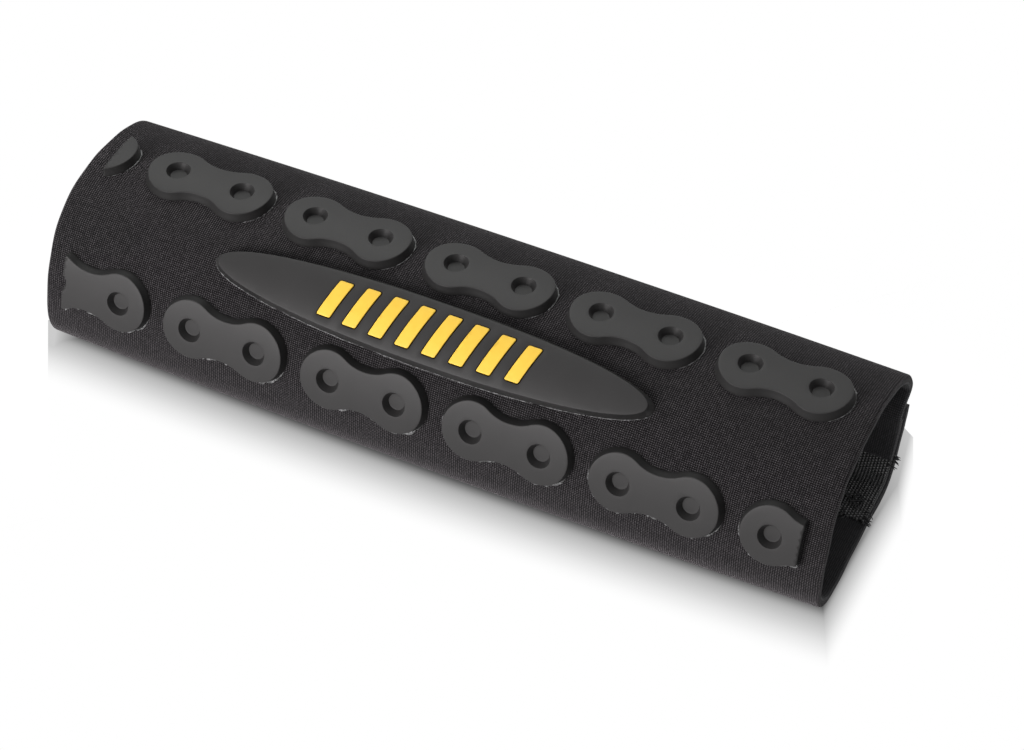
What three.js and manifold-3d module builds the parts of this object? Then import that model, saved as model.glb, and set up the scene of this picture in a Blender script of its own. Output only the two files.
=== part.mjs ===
import * as THREE from "three";
import { mergeVertices } from "three/addons/utils/BufferGeometryUtils.js";
import Module from "manifold-3d";

// A bicycle frame protector: one neoprene sheet with rubber pads moulded on its face, wrapped round
// into a sleeve and closed along the back by a hook tape and a loop tape.
//
// Every piece is drawn flat, as the sheet is before it is wrapped, and then folded:
//   x runs along the sleeve, s runs round it and h stands out from the sheet's face.
// s is zero where the flat base meets the bottom fold. It grows up the front panel and over the top,
// and it is negative on the base and on the outer flap behind it.

// Sheet
const SHEET_LENGTH = 250;
const SHEET_THICKNESS = 3;
const CLEARANCE = 0.3;

// Section of the wrapped sleeve, on the outer face: radii and lengths with the angle that each turns
const BASE_WIDTH = 39;
const BOTTOM_FOLD = { radius: 13.5, turn: 92.2 };
const PANEL_FOOT = { length: 23.1, turn: 24.4 };
const PANEL_BROW = { length: 20.9, turn: 46.2 };
const PANEL_CROWN = { length: 19.4, turn: 26.1 };
const PANEL_BACK = { length: 18.8, turn: 16.5 };
const TOP_FOLD = { radius: 22, turn: 42.6 };
const CURL = { radius: 4, turn: 72 };
const BACK_CORNER = { radius: 8, turn: 50 };
const BACK_WALL = { radius: 50, turn: 25 };
const OUTER_FLAP_LIP = 2;
const INNER_FLAP_OVERLAP = 13.5;

// The sleeve swells towards the middle of its length and widens a little towards the right-hand end.
// Its depth grows about a line at this share of the base's width.
const SWELL_DEPTH = 0.037;
const SWELL_HEIGHT = 0.023;
const WIDENING = 0.024;
const SWELL_CENTRE = 0.87;

// Closure
const HOOK_TAPE_THICKNESS = 0.9;
const HOOK_TAPE_WIDTH = 40.5;
const HOOK_TAPE_SETBACK = 4;
const LOOP_TAPE_THICKNESS = 0.6;
const LOOP_TAPE_WIDTH = 11;
const LOOP_TAPE_SETBACK = 1.5;

// Rubber pads: heights are above the sheet, and each pad narrows upwards by its draft and its bevel
const PAD_HEIGHT = 2.8;
const PAD_BEVEL = 0.25;

// Chain-link pads. A row starts with the middle of its first link, and keeps a gap to the lens.
const LINK_PIN_SPACING = 21.6;
const LINK_PITCH = 46.1;
const LINK_END_RADIUS = 9.9;
const LINK_WAIST = 14.4;
const LINK_DRAFT = 0.9;
const PIN_RECESS_RADIUS = 3.6;
const PIN_RECESS_DRAFT = 1.1;
const PIN_RECESS_DEPTH = 2.1;
const UPPER_ROW = { start: -8, gap: 2.35 };
const LOWER_ROW = { start: 14.9, gap: 1.9 };
const TRIM_MARGIN = { left: 6.4, right: 6.6 };

// Lens-shaped pad between the rows, with a band of slanted bars inlaid in its face
const LENS_LENGTH = 140.2;
const LENS_WIDTH = 20.2;
const LENS_FULLNESS = 2.15;
const LENS_DRAFT = 1.6;
const LENS_CENTRE = { x: 122.2, s: 60 };
const BAR_COUNT = 8;
const BAR_PITCH = 8.6;
const BAR_WIDTH = 4.4;
const BAR_SLANT = 3.2;
const BAR_BORDER = 4.2;
const BAR_DEPTH = 1;
const BAR_RISE = 0.3;

// Facets
const TURN_STEP = 10;
const LENGTH_STEP = 9;
const BAYS_ALONG = 6;
const END_SEGMENTS = 14;
const WAIST_SEGMENTS = 6;
const RECESS_SEGMENTS = 16;
const LENS_SEGMENTS = 44;
const JOIN_SEGMENTS = 5;
const JOIN_REACH = 0.4;
const SNAP = 0.05;
const WELD = 0.0005;

const FABRIC = new THREE.MeshStandardMaterial({ color: 0x252327, roughness: 0.95, metalness: 0 });
const RUBBER = new THREE.MeshStandardMaterial({ color: 0x474747, roughness: 0.7, metalness: 0 });
const INLAY = new THREE.MeshStandardMaterial({ color: 0xf7c843, roughness: 0.6, metalness: 0 });
const TAPE = new THREE.MeshStandardMaterial({ color: 0x1b1b1d, roughness: 0.9, metalness: 0 });

const wasm = await Module();
wasm.setup();

// A line through the section, drawn piece by piece from a start point and a heading in degrees.
class Run {
  constructor(point, heading) {
    this.point = point.clone();
    this.heading = THREE.MathUtils.degToRad(heading);
    this.curves = [];
    this.length = 0;
    this.lines = [0];
  }

  add(curve, divisions) {
    const length = curve.getLength();
    this.curves.push({ curve, start: this.length, length });
    for (let i = 1; i <= divisions; i++) {
      this.lines.push(this.length + (length * i) / divisions);
    }
    this.length += length;
    this.point = curve.getPoint(1);
  }

  ahead(length) {
    const end = new THREE.Vector2(Math.cos(this.heading), Math.sin(this.heading));
    end.multiplyScalar(length).add(this.point);
    this.add(new THREE.LineCurve(this.point.clone(), end), 1);
  }

  // Turns to the right for a positive angle and to the left for a negative one.
  bend(radius, degrees) {
    const angle = THREE.MathUtils.degToRad(degrees);
    const side = Math.sign(angle);
    const from = this.heading + (side * Math.PI) / 2;
    const x = this.point.x - radius * Math.cos(from);
    const y = this.point.y - radius * Math.sin(from);
    const arc = new THREE.ArcCurve(x, y, radius, from, from - angle, angle > 0);
    this.heading -= angle;
    const divisions = Math.max(Math.abs(degrees) / TURN_STEP, (radius * Math.abs(angle)) / LENGTH_STEP);
    this.add(arc, Math.ceil(divisions));
  }

  // Runs smoothly on to a point, and arrives there at a heading in radians.
  join(point, heading) {
    const reach = this.point.distanceTo(point) * JOIN_REACH;
    const first = new THREE.Vector2(Math.cos(this.heading), Math.sin(this.heading));
    const last = new THREE.Vector2(Math.cos(heading), Math.sin(heading));
    first.multiplyScalar(reach).add(this.point);
    last.multiplyScalar(-reach).add(point);
    this.heading = heading;
    this.add(new THREE.CubicBezierCurve(this.point.clone(), first, last, point), JOIN_SEGMENTS);
  }

  at(s) {
    let piece = this.curves[0];
    for (const next of this.curves) {
      if (s >= next.start) {
        piece = next;
      }
    }
    const t = THREE.MathUtils.clamp((s - piece.start) / piece.length, 0, 1);
    return { point: piece.curve.getPointAt(t), tangent: piece.curve.getTangentAt(t) };
  }
}

// The section is two runs that leave the same point: backwards along the base and up the outer flap,
// and forwards round the bottom fold, up the front, over the top and down the inner flap.
const foldStart = new THREE.Vector2(BOTTOM_FOLD.radius, 0);

const backRun = new Run(foldStart, 0);
backRun.ahead(BASE_WIDTH);
backRun.bend(BACK_CORNER.radius, -BACK_CORNER.turn);
backRun.bend(BACK_WALL.radius, -BACK_WALL.turn);
const wallTop = { point: backRun.point.clone(), heading: backRun.heading };
backRun.ahead(OUTER_FLAP_LIP);

const frontRun = new Run(foldStart, 180);
frontRun.bend(BOTTOM_FOLD.radius, BOTTOM_FOLD.turn);
for (const { length, turn } of [PANEL_FOOT, PANEL_BROW, PANEL_CROWN, PANEL_BACK]) {
  frontRun.bend(length / THREE.MathUtils.degToRad(turn), turn);
}
frontRun.bend(TOP_FOLD.radius, TOP_FOLD.turn);
frontRun.bend(CURL.radius, CURL.turn);

// The inner flap lies parallel to the outer one, with both tapes between the two.
const flapSpacing = SHEET_THICKNESS + HOOK_TAPE_THICKNESS + LOOP_TAPE_THICKNESS + 3 * CLEARANCE;
const inward = new THREE.Vector2(-Math.sin(wallTop.heading), Math.cos(wallTop.heading));
const flapStart = inward.multiplyScalar(flapSpacing).add(wallTop.point);
frontRun.join(flapStart, wallTop.heading - Math.PI);
const flapRadius = BACK_WALL.radius - flapSpacing;
const flapTurn = THREE.MathUtils.radToDeg(INNER_FLAP_OVERLAP / flapRadius);
frontRun.bend(flapRadius, flapTurn);

// Where the section bends between facets, every piece is divided along the same lines.
const sLines = [...backRun.lines.map((s) => -s), ...frontRun.lines];
const sheetBottom = -backRun.length;
const sheetTop = frontRun.length;
const xLines = [];
for (let i = 0; i <= BAYS_ALONG; i++) {
  xLines.push((SHEET_LENGTH * i) / BAYS_ALONG);
}

// Folds a flat point into its place on the sleeve.
const swellCentre = foldStart.x + BASE_WIDTH * SWELL_CENTRE;

function wrap(flat) {
  const run = flat.y < 0 ? backRun : frontRun;
  const { point, tangent } = run.at(Math.abs(flat.y));
  if (flat.y < 0) {
    tangent.negate();
  }
  const y = point.x - tangent.y * flat.z;
  const z = point.y + tangent.x * flat.z;
  const u = flat.x / SHEET_LENGTH;
  const swell = 4 * u * (1 - u);
  const widening = WIDENING * (u - 0.5);
  const depth = 1 + SWELL_DEPTH * swell + widening;
  const height = 1 + SWELL_HEIGHT * swell + widening;
  return new THREE.Vector3(flat.x, swellCentre + (y - swellCentre) * depth, z * height);
}

// Divides flat faces where they cross a line of constant x or constant y.
function divide(faces, axis, value) {
  const cross = (a, b) => {
    const [low, high] = a[axis] < b[axis] ? [a, b] : [b, a];
    const point = low.clone().lerp(high, (value - low[axis]) / (high[axis] - low[axis]));
    point[axis] = value;
    return point;
  };
  return faces.flatMap((face) => {
    const sides = face.map((p) => Math.sign(p[axis] - value));
    if (!sides.includes(1) || !sides.includes(-1)) {
      return [face];
    }
    const below = [];
    const above = [];
    face.forEach((point, i) => {
      const next = (i + 1) % face.length;
      if (sides[i] <= 0) {
        below.push(point);
      }
      if (sides[i] >= 0) {
        above.push(point);
      }
      if (sides[i] * sides[next] < 0) {
        const shared = cross(point, face[next]);
        below.push(shared);
        above.push(shared);
      }
    });
    return [below, above];
  });
}

// Turns a flat solid into its folded form.
function fold(geometry, alongLines) {
  const { index, attributes } = geometry;
  const points = [];
  for (let i = 0; i < attributes.position.count; i++) {
    const point = new THREE.Vector3().fromBufferAttribute(attributes.position, i);
    for (const [axis, lines] of [["x", alongLines], ["y", sLines]]) {
      const near = lines.find((line) => Math.abs(point[axis] - line) < SNAP);
      point[axis] = near ?? point[axis];
    }
    points.push(point);
  }
  let faces = [];
  for (let i = 0; i < index.count; i += 3) {
    faces.push([points[index.getX(i)], points[index.getX(i + 1)], points[index.getX(i + 2)]]);
  }
  for (const line of alongLines) {
    faces = divide(faces, "x", line);
  }
  for (const line of sLines) {
    faces = divide(faces, "y", line);
  }
  const corners = faces.flatMap((face) => face.slice(2).flatMap((point, i) => [face[0], face[i + 1], point]));
  const folded = new THREE.BufferGeometry().setFromPoints(corners.map(wrap));
  return mergeVertices(folded, WELD);
}

function plain(geometry) {
  geometry.deleteAttribute("normal");
  geometry.deleteAttribute("uv");
  return mergeVertices(geometry);
}

function toSolid(geometry) {
  const vertProperties = new Float32Array(geometry.attributes.position.array);
  const triVerts = new Uint32Array(geometry.index.array);
  return new wasm.Manifold(new wasm.Mesh({ numProp: 3, vertProperties, triVerts }));
}

function toGeometry(solid) {
  const mesh = solid.getMesh();
  const geometry = new THREE.BufferGeometry();
  geometry.setAttribute("position", new THREE.BufferAttribute(mesh.vertProperties, 3));
  geometry.setIndex(new THREE.BufferAttribute(mesh.triVerts, 1));
  return geometry;
}

// A flat strip of the sheet's length, between two s and two h.
function strip(fromS, toS, fromH, toH) {
  const box = new THREE.BoxGeometry(SHEET_LENGTH, toS - fromS, toH - fromH);
  box.translate(SHEET_LENGTH / 2, (fromS + toS) / 2, (fromH + toH) / 2);
  return plain(box);
}

// A solid through outlines of equal point counts, each at its own height.
function loft(outlines, heights) {
  const count = outlines[0].length;
  const points = outlines.flatMap((outline, k) => outline.map((p) => new THREE.Vector3(p.x, p.y, heights[k])));
  const cap = THREE.ShapeUtils.triangulateShape(outlines[0], []);
  const top = (outlines.length - 1) * count;
  const faces = cap.flatMap(([a, b, c]) => [c, b, a, top + a, top + b, top + c]);
  for (let k = 0; k < outlines.length - 1; k++) {
    for (let i = 0; i < count; i++) {
      const a = k * count + i;
      const b = k * count + ((i + 1) % count);
      faces.push(a, b, b + count, a, b + count, a + count);
    }
  }
  const geometry = new THREE.BufferGeometry().setFromPoints(points);
  geometry.setIndex(faces);
  return geometry;
}

// A pad's flat body: a drafted wall, a narrow bevel and a flat top.
function padBody(outlineAt, centre, draft) {
  const insets = [0, draft, draft + PAD_BEVEL];
  const heights = [CLEARANCE, PAD_HEIGHT - PAD_BEVEL, PAD_HEIGHT];
  const body = loft(insets.map(outlineAt), heights);
  body.translate(centre.x, centre.s, 0);
  return body;
}

function arcPoints(x, y, radius, from, to, clockwise, segments) {
  return new THREE.ArcCurve(x, y, radius, from, to, clockwise).getPoints(segments).slice(0, segments);
}

// A chain link's outline: two round ends, with a hollow waist that runs smoothly into both.
function linkOutline(inset) {
  const half = LINK_PIN_SPACING / 2;
  const waist = LINK_WAIST / 2;
  const hollow = (half ** 2 + waist ** 2 - LINK_END_RADIUS ** 2) / (2 * (LINK_END_RADIUS - waist));
  const rise = waist + hollow;
  const lean = Math.atan2(rise, half);
  const end = LINK_END_RADIUS - inset;
  const dip = hollow + inset;
  return [
    ...arcPoints(half, 0, end, lean - Math.PI, Math.PI - lean, false, END_SEGMENTS),
    ...arcPoints(0, rise, dip, -lean, lean - Math.PI, true, WAIST_SEGMENTS),
    ...arcPoints(-half, 0, end, lean, -lean, false, END_SEGMENTS),
    ...arcPoints(0, -rise, dip, Math.PI - lean, lean, true, WAIST_SEGMENTS),
  ];
}

function pinRecess(x, s) {
  const floor = PAD_HEIGHT - PIN_RECESS_DEPTH;
  const over = PAD_HEIGHT + PIN_RECESS_DEPTH;
  const profile = [
    new THREE.Vector2(0, floor),
    new THREE.Vector2(PIN_RECESS_RADIUS - PIN_RECESS_DRAFT, floor),
    new THREE.Vector2(PIN_RECESS_RADIUS + PIN_RECESS_DRAFT, over),
    new THREE.Vector2(0, over),
  ];
  const cutter = new THREE.LatheGeometry(profile, RECESS_SEGMENTS);
  cutter.rotateX(Math.PI / 2);
  cutter.translate(x, s, 0);
  return toSolid(plain(cutter));
}

// What is left of the flat sheet once its ends are trimmed: pads that reach past it are cut straight.
function trimmedArea() {
  const length = SHEET_LENGTH - TRIM_MARGIN.left - TRIM_MARGIN.right;
  const area = new THREE.BoxGeometry(length, sheetTop - sheetBottom, 4 * PAD_HEIGHT);
  area.translate(TRIM_MARGIN.left + length / 2, (sheetTop + sheetBottom) / 2, 0);
  return toSolid(plain(area));
}

function linkPad(x, s) {
  let pad = toSolid(padBody(linkOutline, { x, s }, LINK_DRAFT));
  for (const pin of [x - LINK_PIN_SPACING / 2, x + LINK_PIN_SPACING / 2]) {
    pad = pad.subtract(pinRecess(pin, s));
  }
  return pad;
}

// The lens: an oval a little fuller than an ellipse, which has a fullness of 2.
function lensOutline(inset) {
  const bulge = (part, half) => Math.sign(part) * Math.abs(part) ** (2 / LENS_FULLNESS) * (half - inset);
  const circle = arcPoints(0, 0, 1, 0, 2 * Math.PI, false, LENS_SEGMENTS);
  return circle.map((p) => new THREE.Vector2(bulge(p.x, LENS_LENGTH / 2), bulge(p.y, LENS_WIDTH / 2)));
}

function lensHalfWidth(x) {
  const share = Math.abs(x) / (LENS_LENGTH / 2);
  return (LENS_WIDTH / 2) * (1 - share ** LENS_FULLNESS) ** (1 / LENS_FULLNESS);
}

// A slanted bar whose ends follow the lens at an even border, grown or shrunk all round.
function barOutline(number, grow) {
  const x = (number - (BAR_COUNT + 1) / 2) * BAR_PITCH;
  const half = lensHalfWidth(x) - BAR_BORDER;
  const lean = (BAR_SLANT * half) / (LENS_WIDTH / 2);
  const side = BAR_WIDTH / 2 + grow;
  const tall = half + grow;
  return [
    new THREE.Vector2(x - side - lean, -tall),
    new THREE.Vector2(x + side - lean, -tall),
    new THREE.Vector2(x + side + lean, tall),
    new THREE.Vector2(x - side + lean, tall),
  ];
}

function barBody(number, grow, fromH, toH) {
  const outline = barOutline(number, grow);
  const body = loft([outline, outline], [fromH, toH]);
  body.translate(LENS_CENTRE.x, LENS_CENTRE.s, 0);
  return body;
}

function lensPad() {
  let pad = toSolid(padBody(lensOutline, LENS_CENTRE, LENS_DRAFT));
  for (let number = 1; number <= BAR_COUNT; number++) {
    const pocket = barBody(number, CLEARANCE, PAD_HEIGHT - BAR_DEPTH - CLEARANCE, PAD_HEIGHT + BAR_DEPTH);
    pad = pad.subtract(toSolid(pocket));
  }
  return fold(toGeometry(pad), xLines);
}

const sleeve = new THREE.Group();

function addPiece(name, geometry, material) {
  const mesh = new THREE.Mesh(geometry, material);
  mesh.name = name;
  sleeve.add(mesh);
}

addPiece("neoprene_sheet", fold(strip(sheetBottom, sheetTop, -SHEET_THICKNESS, 0), xLines), FABRIC);

// The hook tape is sewn to the inside of the sheet, from near the outer flap's edge down to the base.
const hookTop = sheetBottom + HOOK_TAPE_SETBACK;
const hookFace = -SHEET_THICKNESS - CLEARANCE;
const hookStrip = strip(hookTop, hookTop + HOOK_TAPE_WIDTH, hookFace - HOOK_TAPE_THICKNESS, hookFace);
addPiece("hook_tape", fold(hookStrip, xLines), TAPE);

// The loop tape is sewn to the outside of the inner flap, along its edge.
const loopEnd = sheetTop - LOOP_TAPE_SETBACK;
const loopStrip = strip(loopEnd - LOOP_TAPE_WIDTH, loopEnd, CLEARANCE, CLEARANCE + LOOP_TAPE_THICKNESS);
addPiece("loop_tape", fold(loopStrip, xLines), TAPE);

// Two rows of links, half a pitch apart. They run on past the sheet's ends, so those there are cut.
function addRow(row, start, s) {
  const half = LINK_PIN_SPACING / 2 + LINK_END_RADIUS;
  const right = SHEET_LENGTH - TRIM_MARGIN.right;
  const trimmed = trimmedArea();
  let whole = 0;
  for (let x = start; x - half < right; x += LINK_PITCH) {
    const cutLeft = x - half < TRIM_MARGIN.left;
    const cutRight = x + half > right + SNAP;
    if (cutLeft || cutRight) {
      const side = cutLeft ? "left" : "right";
      addPiece(`link_pad_${row}_cut_${side}`, fold(toGeometry(linkPad(x, s).intersect(trimmed)), []), RUBBER);
    } else {
      whole += 1;
      addPiece(`link_pad_${row}_${whole}`, fold(toGeometry(linkPad(x, s)), []), RUBBER);
    }
  }
}

const rowOffset = LENS_WIDTH / 2 + LINK_END_RADIUS;
addRow("upper", UPPER_ROW.start, LENS_CENTRE.s + rowOffset + UPPER_ROW.gap);
addRow("lower", LOWER_ROW.start, LENS_CENTRE.s - rowOffset - LOWER_ROW.gap);

addPiece("centre_lens_pad", lensPad(), RUBBER);
for (let number = 1; number <= BAR_COUNT; number++) {
  const bar = barBody(number, 0, PAD_HEIGHT - BAR_DEPTH, PAD_HEIGHT + BAR_RISE);
  addPiece(`inlay_bar_${number}`, fold(bar, xLines), INLAY);
}

// The origin is on the surface that the sleeve lies on, under the middle of it.
const bounds = new THREE.Box3().setFromObject(sleeve);
const middle = bounds.getCenter(new THREE.Vector3());
sleeve.position.set(-middle.x, -middle.y, -bounds.min.z);

const protector = new THREE.Group();
protector.add(sleeve);

export default protector;
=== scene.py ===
import math
import random

import bmesh
import bpy
import numpy as np
from mathutils import Matrix, Vector
from mathutils.geometry import delaunay_2d_cdt


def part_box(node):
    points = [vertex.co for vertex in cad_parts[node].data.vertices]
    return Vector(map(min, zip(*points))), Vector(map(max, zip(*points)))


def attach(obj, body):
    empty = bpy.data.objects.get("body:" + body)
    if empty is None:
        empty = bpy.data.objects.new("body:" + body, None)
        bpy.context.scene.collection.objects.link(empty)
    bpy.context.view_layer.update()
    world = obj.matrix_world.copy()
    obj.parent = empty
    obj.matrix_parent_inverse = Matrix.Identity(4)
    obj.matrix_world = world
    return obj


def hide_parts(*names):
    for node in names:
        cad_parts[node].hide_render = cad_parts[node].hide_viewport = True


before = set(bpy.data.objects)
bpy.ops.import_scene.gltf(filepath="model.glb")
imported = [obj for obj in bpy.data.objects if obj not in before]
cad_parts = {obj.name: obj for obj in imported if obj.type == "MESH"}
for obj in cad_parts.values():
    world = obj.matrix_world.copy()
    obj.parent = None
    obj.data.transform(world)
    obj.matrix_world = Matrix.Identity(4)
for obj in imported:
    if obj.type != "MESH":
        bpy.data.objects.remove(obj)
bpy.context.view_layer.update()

# A bicycle frame protector: a neoprene sheet with moulded rubber pads, wrapped into a sleeve.
# Every piece is drawn flat in millimetres and then folded on to the sleeve, in metres:
# x runs along the sleeve, s runs round it and h stands out from the sheet's face.

MM = 0.001
PHOTO_WIDTH = 1024
SEED = 7

# Camera, solved from the photograph
CAMERA_PLACE = Vector((0.30238, -0.60631, 0.75751))
CAMERA_AZIMUTH = 25.41
CAMERA_ELEVATION = 47.68
CAMERA_ROLL = -0.08
FOCAL_PIXELS = 3381.8

# Sheet and its section, on the outer face: radii and lengths with the angle that each turns
SHEET_LENGTH = 250
SHEET_THICKNESS = 3
BASE_WIDTH = 39
BOTTOM_FOLD = (13.5, 92.2)
FRONT_PANEL = ((23.1, 24.4), (20.9, 46.2), (19.4, 26.1), (18.8, 16.5))
TOP_FOLD = (22, 42.6)
CURL = (4, 72)
BACK_CORNER = (8, 50)
BACK_WALL = (50, 25)
OUTER_FLAP_LIP = 2
FLAP_SPACING = 5.4
INNER_FLAP_OVERLAP = 13.5
JOIN_REACH = 0.4
JOIN_POINTS = 65
SWELL_DEPTH = 0.037
SWELL_HEIGHT = 0.023
WIDENING = 0.024
SWELL_CENTRE = 0.87

# Tapes, sewn to the sheet
HOOK_TAPE = {"setback": 4, "width": 40.5, "base": 0.9}
LOOP_TAPE = {"setback": 1.5, "width": 11, "base": 0.6}
RIB_PITCH = 0.95
RIB_HEIGHT = 0.3
# Rows of pale spots painted as glints along the cords: their pitch round the sleeve, and how far the row on
# each cord is shifted
GLINT_ROW_PITCH = 0.85
GLINT_ROW_SHIFT = 0.37

# Pads
PAD_HEIGHT = 2.8
LINK_DRAFT = 0.85
PAD_ROUND = 0.32
PAD_SINK = 0.05
WALL_FOOT = 0.25
PIN_SPACING = 21.6
LINK_PITCH = 46.1
LINK_END_RADIUS = 9.9
LINK_WAIST = 14.4
RECESS_RADIUS = 3.6
RECESS_DRAFT = 1.05
RECESS_DEPTH = 2.1
RECESS_LIP = 0.1
RECESS_FILLET = 0.14
RECESS_FLOOR_RINGS = (1.5, 0.8)
TRIM_LEFT = 6.4
TRIM_RIGHT = 243.4
LENS_LENGTH = 140.2
LENS_WIDTH = 20.2
LENS_FULLNESS = 2.15
LENS_DRAFT = 1.55
LENS_CENTRE = (122.2, 60)
BAR_COUNT = 8
BAR_PITCH = 8.6
BAR_WIDTH = 4.4
BAR_SLANT = 3.2
BAR_BORDER = 4.2
BAR_DEPTH = 1
BAR_RISE = 0.3
BAR_GAP = 0.25
BAR_CORNER = 0.6
BAR_ROUND = 0.22

# Rows of links: the middle of the first link, the row's place round the sleeve,
# and which way its moulding flash faces and how wide that is
# The flash is real, but it is put only on the side where its painted glints show
LINK_ROWS = {
    "upper": {"start": -8, "s": 82.35, "flash_way": (0.9, 0.3), "flash_width": 0.5},
    "lower": {"start": 14.9, "s": 38.1, "flash_way": (-0.18, -0.98), "flash_width": 1.3},
}


# Section

class Run:
    """A line through the section, sampled finely from a start point and a heading in degrees."""

    STEP = 0.25

    def __init__(self, point, heading):
        self.rows = [(0.0, point[0], point[1], math.radians(heading))]

    def end(self):
        return self.rows[-1]

    def ahead(self, length):
        start, y, z, heading = self.end()
        place = (y + length * math.cos(heading), z + length * math.sin(heading))
        self.rows.append((start + length, *place, heading))

    def bend(self, radius, degrees):
        """Turns to the right for a positive angle and to the left for a negative one."""
        start, y, z, heading = self.end()
        angle = math.radians(degrees)
        out = heading + math.copysign(math.pi / 2, angle)
        middle = (y - radius * math.cos(out), z - radius * math.sin(out))
        length = radius * abs(angle)
        steps = math.ceil(length / self.STEP)
        for i in range(1, steps + 1):
            share = i / steps
            at = out - angle * share
            place = (middle[0] + radius * math.cos(at), middle[1] + radius * math.sin(at))
            self.rows.append((start + length * share, *place, heading - angle * share))

    def join(self, point, heading):
        """Runs smoothly on to a point, and arrives there at a heading in radians."""
        start, y, z, first = self.end()
        a, d = np.array((y, z)), np.array(point)
        reach = np.linalg.norm(d - a) * JOIN_REACH
        b = a + reach * np.array((math.cos(first), math.sin(first)))
        c = d - reach * np.array((math.cos(heading), math.sin(heading)))
        t = np.linspace(0, 1, JOIN_POINTS)[:, None]
        line = (1 - t) ** 3 * a + 3 * t * (1 - t) ** 2 * b + 3 * t**2 * (1 - t) * c + t**3 * d
        way = 3 * (1 - t) ** 2 * (b - a) + 6 * t * (1 - t) * (c - b) + 3 * t**2 * (d - c)
        headings = np.unwrap(np.concatenate(([first], np.arctan2(way[1:, 1], way[1:, 0]))))
        lengths = start + np.cumsum(np.linalg.norm(np.diff(line, axis=0), axis=1))
        for length, place, turned in zip(lengths, line[1:], headings[1:]):
            self.rows.append((length, *place, turned))

    def at(self, s):
        rows = np.array(self.rows)
        return [np.interp(s, rows[:, 0], rows[:, k]) for k in (1, 2, 3)]


def section():
    """The run back along the base and up the outer flap, and the run up the front and over the top."""
    fold_start = (BOTTOM_FOLD[0], 0)
    back = Run(fold_start, 0)
    back.ahead(BASE_WIDTH)
    back.bend(BACK_CORNER[0], -BACK_CORNER[1])
    back.bend(BACK_WALL[0], -BACK_WALL[1])
    _, y, z, heading = back.end()
    back.ahead(OUTER_FLAP_LIP)
    front = Run(fold_start, 180)
    front.bend(*BOTTOM_FOLD)
    for length, turn in FRONT_PANEL:
        front.bend(length / math.radians(turn), turn)
    front.bend(*TOP_FOLD)
    front.bend(*CURL)
    flap_start = (y - FLAP_SPACING * math.sin(heading), z + FLAP_SPACING * math.cos(heading))
    front.join(flap_start, heading - math.pi)
    flap_radius = BACK_WALL[0] - FLAP_SPACING
    front.bend(flap_radius, math.degrees(INNER_FLAP_OVERLAP / flap_radius))
    return back, front


back_run, front_run = section()
sheet_bottom = -back_run.end()[0]
sheet_top = front_run.end()[0]
swell_middle = BOTTOM_FOLD[0] + BASE_WIDTH * SWELL_CENTRE


def fold(flat):
    """Flat points as points on the sleeve, still in millimetres and not yet moved to the frame."""
    x, s, h = np.asarray(flat, float).T
    front = front_run.at(np.maximum(s, 0))
    back = back_run.at(np.maximum(-s, 0))
    y, z, heading = (np.where(s < 0, b, f) for b, f in zip(back, front))
    side = np.where(s < 0, -1.0, 1.0)
    tangent_y, tangent_z = side * np.cos(heading), side * np.sin(heading)
    y, z = y - tangent_z * h, z + tangent_y * h
    u = x / SHEET_LENGTH
    swell = 4 * u * (1 - u)
    widening = WIDENING * (u - 0.5)
    y = swell_middle + (y - swell_middle) * (1 + SWELL_DEPTH * swell + widening)
    z = z * (1 + SWELL_HEIGHT * swell + widening)
    return np.stack((x, y, z), 1)


# The sleeve's foremost line lies within this way round it from the bottom fold
FRONT_REACH = 60


def frame_shift():
    """How far folded points move to lie in the frame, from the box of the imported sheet."""
    low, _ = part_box("neoprene_sheet")
    xs, ss = np.linspace(0, SHEET_LENGTH, 51), np.linspace(0, FRONT_REACH, 241)
    front = np.array([(x, s, 0) for x in xs for s in ss])
    folded = fold(front) * MM
    return np.array((low.x - folded[:, 0].min(), low.y - folded[:, 1].min(), low.z))


shift = frame_shift()


def wrap(flat):
    return fold(flat) * MM + shift


# Meshes

def piece(name, flat, faces, materials, slot, replaces=(), indices=None):
    """A piece from flat points, which also keeps them as an attribute for its materials."""
    mesh = bpy.data.meshes.new(name)
    mesh.from_pydata(wrap(flat).tolist(), [], faces)
    for material in materials:
        mesh.materials.append(material)
    if indices is not None:
        mesh.polygons.foreach_set("material_index", indices)
    attribute = mesh.attributes.new("flat", "FLOAT_VECTOR", "POINT")
    attribute.data.foreach_set("vector", np.asarray(flat, np.float32).ravel())
    mesh.polygons.foreach_set("use_smooth", [True] * len(mesh.polygons))
    mesh.update()
    made = bpy.data.objects.new(name, mesh)
    bpy.context.scene.collection.objects.link(made)
    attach(made, "root")
    if replaces:
        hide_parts(*replaces)
    return made


def edge_lines(length, step, edge_steps):
    """Even lines over a length, with finer ones near both of its ends."""
    middle = np.linspace(edge_steps[-1], length - edge_steps[-1], round(length / step) + 1)
    near = np.array(edge_steps[:-1])
    return np.concatenate((near, middle, (length - near)[::-1]))


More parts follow.
